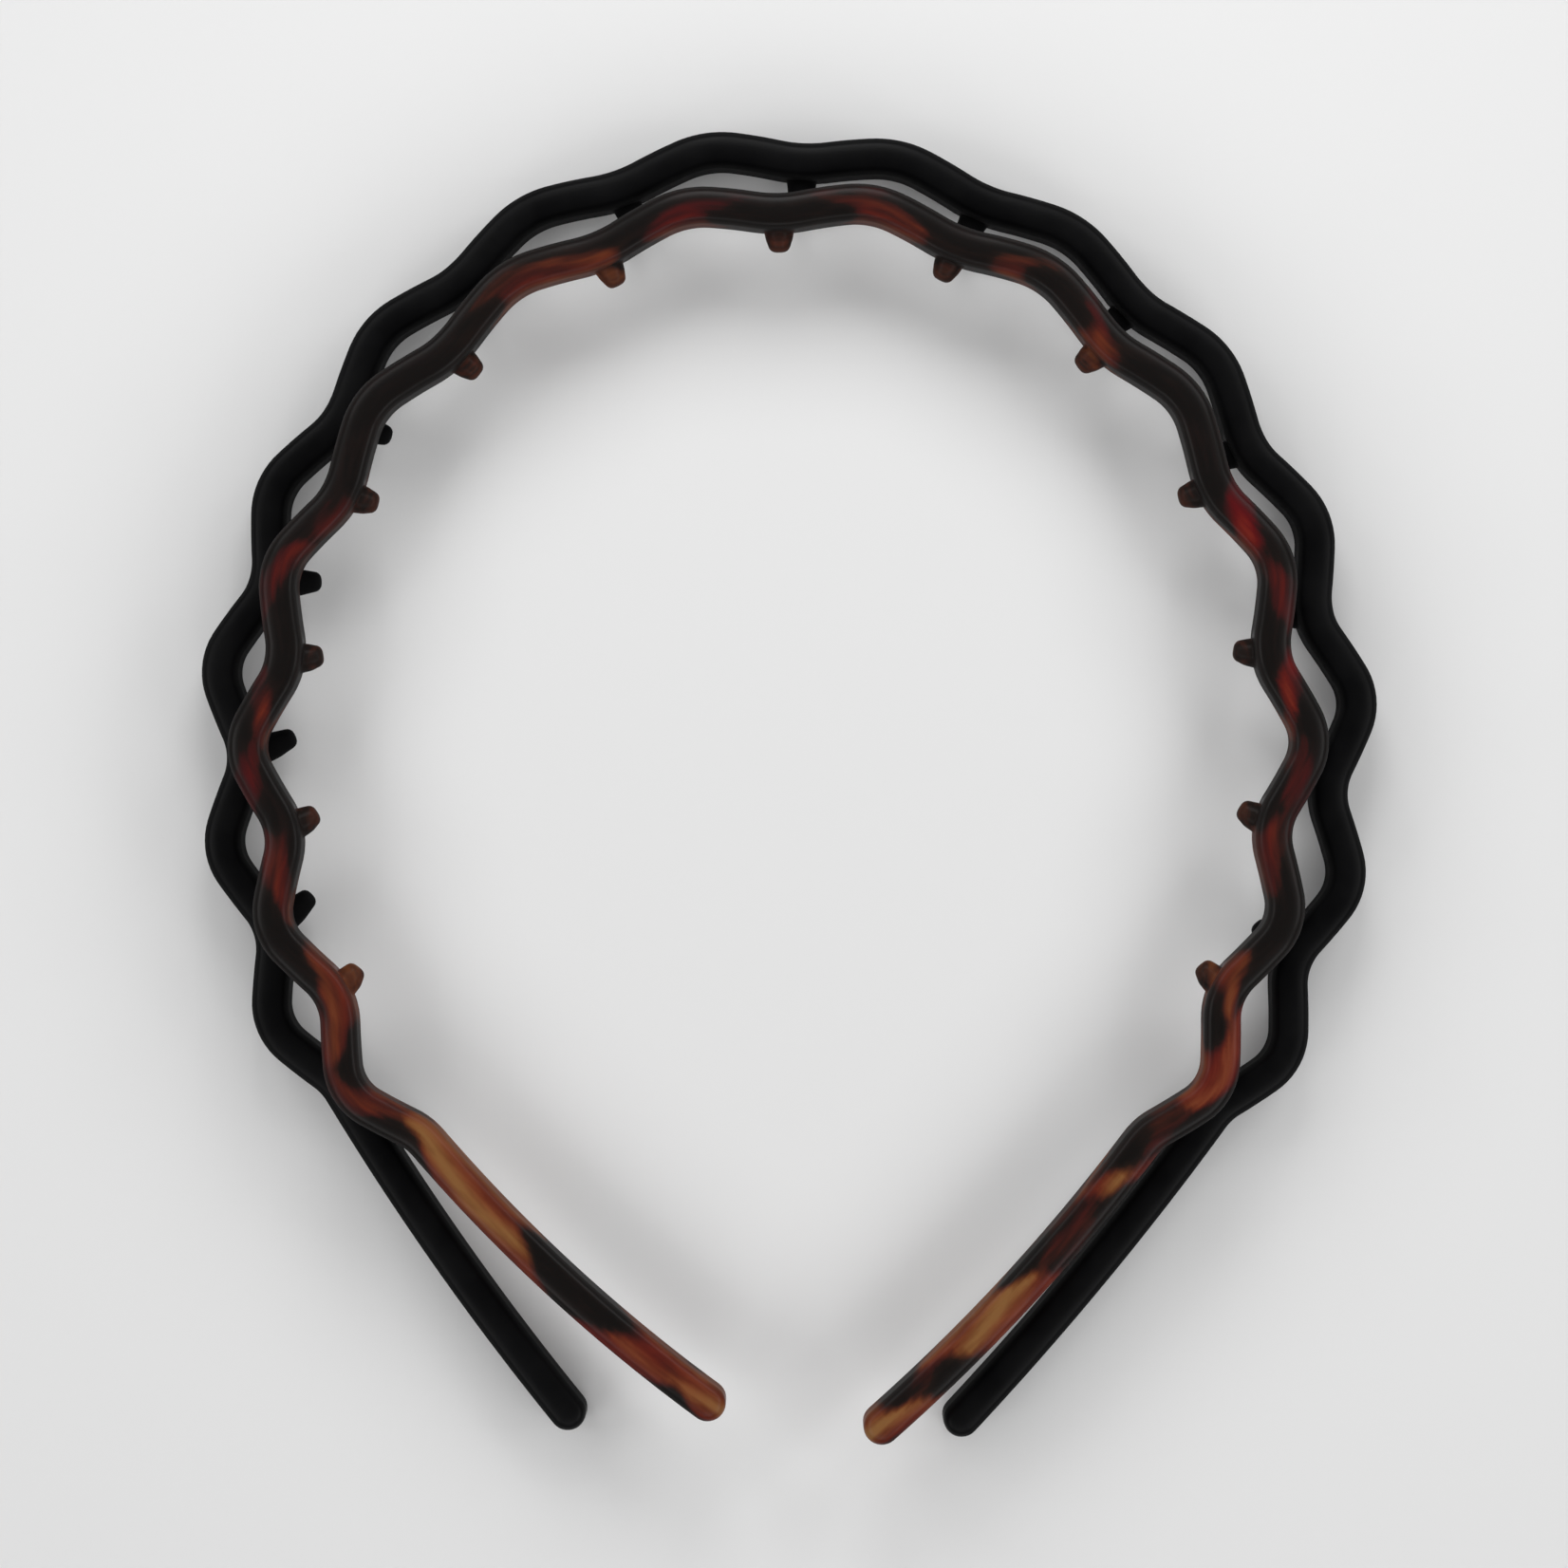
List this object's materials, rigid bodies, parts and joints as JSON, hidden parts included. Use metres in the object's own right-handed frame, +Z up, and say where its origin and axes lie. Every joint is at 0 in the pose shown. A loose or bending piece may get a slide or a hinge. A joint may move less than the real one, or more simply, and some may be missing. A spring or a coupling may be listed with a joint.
{
  "type": "wavy headband set",
  "caption": "Set of wavy moulded hair bands with comb teeth, a satin black one under a tortoiseshell one, whose sides spring open to go over a head.",
  "frame": {"origin": "under the middle of the whole set's box, on the surface the black headband lies on", "axes": "+Z up, along the depth of the bands as they lie flat; +Y towards the crown of the bands; +X to the side that is on the right when the crown is at the top"},
  "size_m": [0.1324, 0.147, 0.0141],
  "materials": {
    "satin_black_plastic": "satin",
    "gloss_tortoiseshell_plastic": "polished, translucent, mottled from near-black through red to amber"
  },
  "bodies": {
    "black_crown": {"black_crown_band": "satin_black_plastic", "black_crown_teeth": "satin_black_plastic"},
    "black_left": {"black_left_side_band": "satin_black_plastic", "black_left_teeth": "satin_black_plastic", "black_left_arm": "satin_black_plastic"},
    "black_right": {"black_right_side_band": "satin_black_plastic", "black_right_teeth": "satin_black_plastic", "black_right_arm": "satin_black_plastic"},
    "tortoise_crown": {"tortoise_crown_band": "gloss_tortoiseshell_plastic", "tortoise_crown_teeth": "gloss_tortoiseshell_plastic"},
    "tortoise_left": {"tortoise_left_side_band": "gloss_tortoiseshell_plastic", "tortoise_left_teeth": "gloss_tortoiseshell_plastic", "tortoise_left_arm": "gloss_tortoiseshell_plastic"},
    "tortoise_right": {"tortoise_right_side_band": "gloss_tortoiseshell_plastic", "tortoise_right_teeth": "gloss_tortoiseshell_plastic", "tortoise_right_arm": "gloss_tortoiseshell_plastic"}
  },
  "joints": [
    {"name": "tortoise_lift", "type": "slide", "parent": "black_crown", "child": "tortoise_crown", "axis": [0, 0, 1], "range_m": [0, 0.03]},
    {"name": "black_left_flex", "type": "hinge", "parent": "black_crown", "child": "black_left", "pos_m": [-0.02438, 0.06602, 0.0035], "axis": [0, 0, -1], "range_deg": [-2, 14], "stiffness_Nm_per_rad": 1.2},
    {"name": "black_right_flex", "type": "hinge", "parent": "black_crown", "child": "black_right", "pos_m": [0.02701, 0.06408, 0.0035], "axis": [0, 0, 1], "range_deg": [-2, 14], "stiffness_Nm_per_rad": 1.2},
    {"name": "tortoise_left_flex", "type": "hinge", "parent": "tortoise_crown", "child": "tortoise_left", "pos_m": [-0.02616, 0.05817, 0.0106], "axis": [0, 0, -1], "range_deg": [-2, 14], "stiffness_Nm_per_rad": 1.2},
    {"name": "tortoise_right_flex", "type": "hinge", "parent": "tortoise_crown", "child": "tortoise_right", "pos_m": [0.02386, 0.05888, 0.0106], "axis": [0, 0, 1], "range_deg": [-2, 14], "stiffness_Nm_per_rad": 1.2}
  ]
}
